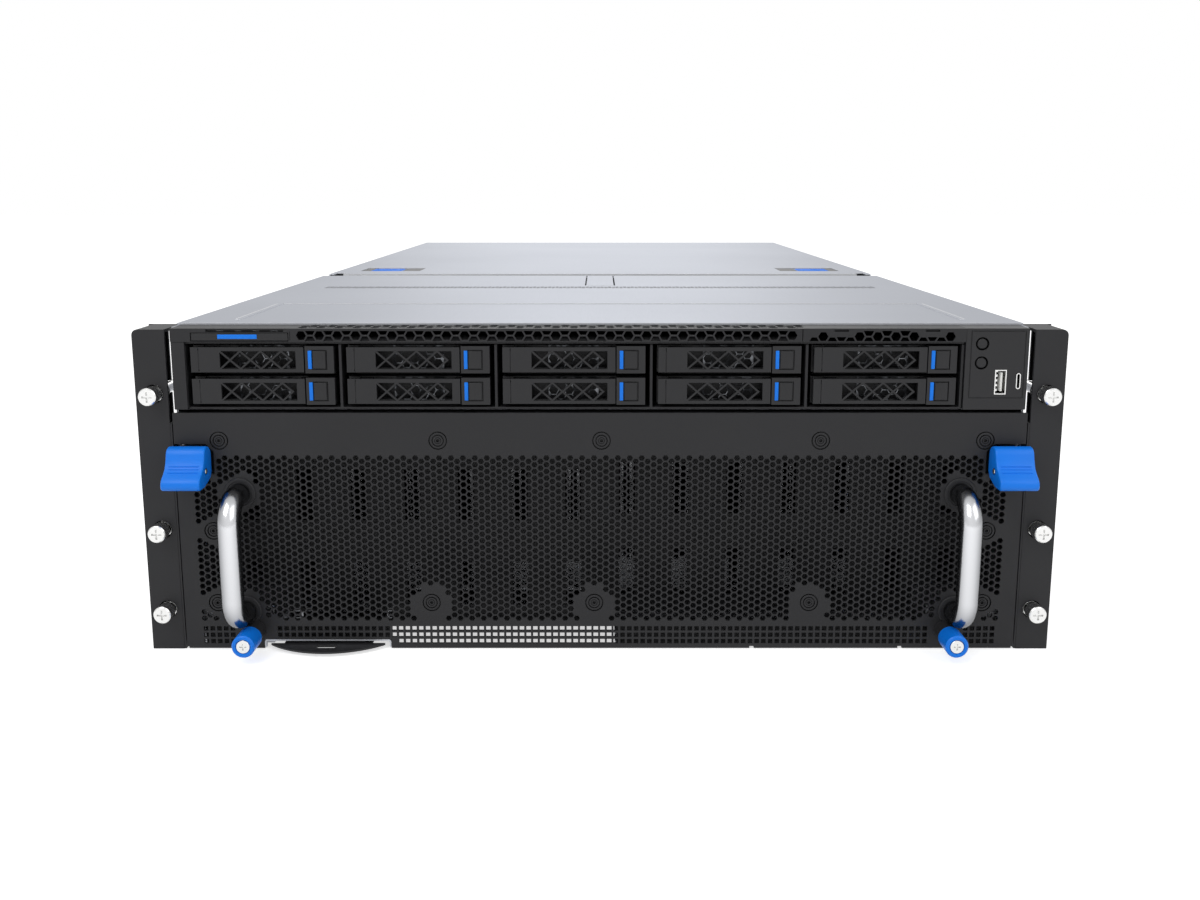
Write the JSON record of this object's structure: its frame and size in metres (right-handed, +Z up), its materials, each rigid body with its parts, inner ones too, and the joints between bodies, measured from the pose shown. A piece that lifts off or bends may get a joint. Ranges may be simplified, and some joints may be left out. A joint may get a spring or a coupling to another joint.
{
  "type": "4u gpu server",
  "caption": "Rack server, 4U: a drive level with hot-swap trays over a pull-out GPU module with a honeycomb front, carry handles, ejector levers, rear fans and power supplies.",
  "frame": {"origin": "under the middle of the whole server, on the plane it rests on", "axes": "+X to the server's right seen from the front, +Y to the rear, +Z up"},
  "size_m": [0.4826, 0.9523, 0.1754],
  "materials": {
    "black_powder_coat": "fine black powder coat, matt",
    "black_plastic": "black moulded ABS",
    "zinc_steel": "zinc-plated sheet steel, satin",
    "blue_plastic": "blue moulded ABS, satin",
    "chrome": "polished chrome plate",
    "screw_steel": "nickel-plated steel",
    "circuit_board": "green solder mask on glass-epoxy board",
    "heatsink_aluminium": "extruded aluminium fins"
  },
  "bodies": {
    "chassis": {"chassis_tub": "zinc_steel", "mid_shelf": "zinc_steel", "rear_panel": "zinc_steel", "rack_ear_left": "black_powder_coat", "rack_ear_right": "black_powder_coat", "rack_screws": "screw_steel", "drive_cage": "black_powder_coat", "front_bezel": "black_powder_coat", "control_panel": "black_plastic", "motherboard": "circuit_board", "cpu_heatsinks": "heatsink_aluminium", "memory_modules": "circuit_board", "drive_backplane": "circuit_board", "front_cover": "zinc_steel", "fan_frames": "black_plastic"},
    "gpu_module": {"module_tray": "zinc_steel", "module_front_panel": "black_powder_coat", "carry_handles": "chrome", "gpu_board": "heatsink_aluminium", "air_baffle": "black_powder_coat"},
    "module_lever_left": {"module_lever_left": "blue_plastic"},
    "module_lever_right": {"module_lever_right": "blue_plastic"},
    "thumbscrew_left": {"thumbscrew_left": "blue_plastic"},
    "thumbscrew_right": {"thumbscrew_right": "blue_plastic"},
    "info_tab": {"info_tab": "black_plastic"},
    "id_tag": {"id_tag": "black_plastic"},
    "power_button": {"power_button": "black_plastic"},
    "id_button": {"id_button": "black_plastic"},
    "rear_cover": {"rear_cover": "zinc_steel"},
    "cover_latch_left": {"cover_latch_left": "blue_plastic"},
    "cover_latch_right": {"cover_latch_right": "blue_plastic"},
    "power_supply_1": {"power_supply_1": "zinc_steel"},
    "power_supply_2": {"power_supply_2": "zinc_steel"},
    "power_supply_3": {"power_supply_3": "zinc_steel"},
    "power_supply_4": {"power_supply_4": "zinc_steel"},
    "fan_rotor_1": {"fan_rotor_1": "black_plastic"},
    "fan_rotor_2": {"fan_rotor_2": "black_plastic"},
    "fan_rotor_3": {"fan_rotor_3": "black_plastic"},
    "fan_rotor_4": {"fan_rotor_4": "black_plastic"},
    "fan_rotor_5": {"fan_rotor_5": "black_plastic"},
    "drive_tray_1": {"drive_tray_1": "black_plastic"},
    "drive_tray_2": {"drive_tray_2": "black_plastic"},
    "drive_tray_3": {"drive_tray_3": "black_plastic"},
    "drive_tray_4": {"drive_tray_4": "black_plastic"},
    "drive_tray_5": {"drive_tray_5": "black_plastic"},
    "drive_tray_6": {"drive_tray_6": "black_plastic"},
    "drive_tray_7": {"drive_tray_7": "black_plastic"},
    "drive_tray_8": {"drive_tray_8": "black_plastic"},
    "drive_tray_9": {"drive_tray_9": "black_plastic"},
    "drive_tray_10": {"drive_tray_10": "black_plastic"},
    "drive_latch_1": {"drive_latch_1": "black_plastic"},
    "drive_latch_2": {"drive_latch_2": "black_plastic"},
    "drive_latch_3": {"drive_latch_3": "black_plastic"},
    "drive_latch_4": {"drive_latch_4": "black_plastic"},
    "drive_latch_5": {"drive_latch_5": "black_plastic"},
    "drive_latch_6": {"drive_latch_6": "black_plastic"},
    "drive_latch_7": {"drive_latch_7": "black_plastic"},
    "drive_latch_8": {"drive_latch_8": "black_plastic"},
    "drive_latch_9": {"drive_latch_9": "black_plastic"},
    "drive_latch_10": {"drive_latch_10": "black_plastic"}
  },
  "joints": [
    {"name": "gpu_module_slide", "type": "slide", "parent": "chassis", "child": "gpu_module", "axis": [0, -1, 0], "range_m": [0, 0.57]},
    {"name": "lever_left_hinge", "type": "hinge", "parent": "gpu_module", "child": "module_lever_left", "pos_m": [-0.2135, -0.45985, 0.101], "axis": [-1, 0, 0], "range_deg": [0, 35]},
    {"name": "thumbscrew_left_turn", "type": "hinge", "parent": "gpu_module", "child": "thumbscrew_left", "pos_m": [-0.1852, -0.47385, 0.0107], "axis": [0, 1, 0], "continuous": true},
    {"name": "cover_latch_left_slide", "type": "slide", "parent": "rear_cover", "child": "cover_latch_left", "axis": [0, 1, 0], "range_m": [0, 0.0115]},
    {"name": "lever_right_hinge", "type": "hinge", "parent": "gpu_module", "child": "module_lever_right", "pos_m": [0.2135, -0.45985, 0.101], "axis": [-1, 0, 0], "range_deg": [0, 35]},
    {"name": "thumbscrew_right_turn", "type": "hinge", "parent": "gpu_module", "child": "thumbscrew_right", "pos_m": [0.1852, -0.47385, 0.0107], "axis": [0, 1, 0], "continuous": true},
    {"name": "cover_latch_right_slide", "type": "slide", "parent": "rear_cover", "child": "cover_latch_right", "axis": [0, 1, 0], "range_m": [0, 0.0115]},
    {"name": "info_tab_slide", "type": "slide", "parent": "gpu_module", "child": "info_tab", "axis": [0, -1, 0], "range_m": [0, 0.045]},
    {"name": "id_tag_slide", "type": "slide", "parent": "chassis", "child": "id_tag", "axis": [0, -1, 0], "range_m": [0, 0.045]},
    {"name": "power_button_press", "type": "slide", "parent": "chassis", "child": "power_button", "axis": [0, 1, 0], "range_m": [0, 0.0012], "stiffness_N_per_m": 600},
    {"name": "id_button_press", "type": "slide", "parent": "chassis", "child": "id_button", "axis": [0, 1, 0], "range_m": [0, 0.0012], "stiffness_N_per_m": 600},
    {"name": "rear_cover_slide", "type": "slide", "parent": "chassis", "child": "rear_cover", "axis": [0, 1, 0], "range_m": [0, 0.015]},
    {"name": "power_supply_1_slide", "type": "slide", "parent": "chassis", "child": "power_supply_1", "axis": [0, 1, 0], "range_m": [0, 0.26]},
    {"name": "power_supply_2_slide", "type": "slide", "parent": "chassis", "child": "power_supply_2", "axis": [0, 1, 0], "range_m": [0, 0.26]},
    {"name": "power_supply_3_slide", "type": "slide", "parent": "chassis", "child": "power_supply_3", "axis": [0, 1, 0], "range_m": [0, 0.26]},
    {"name": "power_supply_4_slide", "type": "slide", "parent": "chassis", "child": "power_supply_4", "axis": [0, 1, 0], "range_m": [0, 0.26]},
    {"name": "fan_rotor_1_spin", "type": "hinge", "parent": "chassis", "child": "fan_rotor_1", "pos_m": [-0.176, 0.42015, 0.0836], "axis": [0, 1, 0], "continuous": true},
    {"name": "fan_rotor_2_spin", "type": "hinge", "parent": "chassis", "child": "fan_rotor_2", "pos_m": [-0.088, 0.42015, 0.0836], "axis": [0, 1, 0], "continuous": true},
    {"name": "fan_rotor_3_spin", "type": "hinge", "parent": "chassis", "child": "fan_rotor_3", "pos_m": [0, 0.42015, 0.0836], "axis": [0, 1, 0], "continuous": true},
    {"name": "fan_rotor_4_spin", "type": "hinge", "parent": "chassis", "child": "fan_rotor_4", "pos_m": [0.088, 0.42015, 0.0836], "axis": [0, 1, 0], "continuous": true},
    {"name": "fan_rotor_5_spin", "type": "hinge", "parent": "chassis", "child": "fan_rotor_5", "pos_m": [0.176, 0.42015, 0.0836], "axis": [0, 1, 0], "continuous": true},
    {"name": "drive_tray_1_slide", "type": "slide", "parent": "chassis", "child": "drive_tray_1", "axis": [0, -1, 0], "range_m": [0, 0.13]},
    {"name": "drive_latch_1_hinge", "type": "hinge", "parent": "drive_tray_1", "child": "drive_latch_1", "pos_m": [-0.2088, -0.44625, 0.1339], "axis": [0, 0, -1], "range_deg": [0, 50]},
    {"name": "drive_tray_2_slide", "type": "slide", "parent": "chassis", "child": "drive_tray_2", "axis": [0, -1, 0], "range_m": [0, 0.13]},
    {"name": "drive_latch_2_hinge", "type": "hinge", "parent": "drive_tray_2", "child": "drive_latch_2", "pos_m": [-0.12815, -0.44625, 0.1339], "axis": [0, 0, -1], "range_deg": [0, 50]},
    {"name": "drive_tray_3_slide", "type": "slide", "parent": "chassis", "child": "drive_tray_3", "axis": [0, -1, 0], "range_m": [0, 0.13]},
    {"name": "drive_latch_3_hinge", "type": "hinge", "parent": "drive_tray_3", "child": "drive_latch_3", "pos_m": [-0.0475, -0.44625, 0.1339], "axis": [0, 0, -1], "range_deg": [0, 50]},
    {"name": "drive_tray_4_slide", "type": "slide", "parent": "chassis", "child": "drive_tray_4", "axis": [0, -1, 0], "range_m": [0, 0.13]},
    {"name": "drive_latch_4_hinge", "type": "hinge", "parent": "drive_tray_4", "child": "drive_latch_4", "pos_m": [0.03315, -0.44625, 0.1339], "axis": [0, 0, -1], "range_deg": [0, 50]},
    {"name": "drive_tray_5_slide", "type": "slide", "parent": "chassis", "child": "drive_tray_5", "axis": [0, -1, 0], "range_m": [0, 0.13]},
    {"name": "drive_latch_5_hinge", "type": "hinge", "parent": "drive_tray_5", "child": "drive_latch_5", "pos_m": [0.1138, -0.44625, 0.1339], "axis": [0, 0, -1], "range_deg": [0, 50]},
    {"name": "drive_tray_6_slide", "type": "slide", "parent": "chassis", "child": "drive_tray_6", "axis": [0, -1, 0], "range_m": [0, 0.13]},
    {"name": "drive_latch_6_hinge", "type": "hinge", "parent": "drive_tray_6", "child": "drive_latch_6", "pos_m": [-0.2088, -0.44625, 0.1505], "axis": [0, 0, -1], "range_deg": [0, 50]},
    {"name": "drive_tray_7_slide", "type": "slide", "parent": "chassis", "child": "drive_tray_7", "axis": [0, -1, 0], "range_m": [0, 0.13]},
    {"name": "drive_latch_7_hinge", "type": "hinge", "parent": "drive_tray_7", "child": "drive_latch_7", "pos_m": [-0.12815, -0.44625, 0.1505], "axis": [0, 0, -1], "range_deg": [0, 50]},
    {"name": "drive_tray_8_slide", "type": "slide", "parent": "chassis", "child": "drive_tray_8", "axis": [0, -1, 0], "range_m": [0, 0.13]},
    {"name": "drive_latch_8_hinge", "type": "hinge", "parent": "drive_tray_8", "child": "drive_latch_8", "pos_m": [-0.0475, -0.44625, 0.1505], "axis": [0, 0, -1], "range_deg": [0, 50]},
    {"name": "drive_tray_9_slide", "type": "slide", "parent": "chassis", "child": "drive_tray_9", "axis": [0, -1, 0], "range_m": [0, 0.13]},
    {"name": "drive_latch_9_hinge", "type": "hinge", "parent": "drive_tray_9", "child": "drive_latch_9", "pos_m": [0.03315, -0.44625, 0.1505], "axis": [0, 0, -1], "range_deg": [0, 50]},
    {"name": "drive_tray_10_slide", "type": "slide", "parent": "chassis", "child": "drive_tray_10", "axis": [0, -1, 0], "range_m": [0, 0.13]},
    {"name": "drive_latch_10_hinge", "type": "hinge", "parent": "drive_tray_10", "child": "drive_latch_10", "pos_m": [0.1138, -0.44625, 0.1505], "axis": [0, 0, -1], "range_deg": [0, 50]}
  ]
}
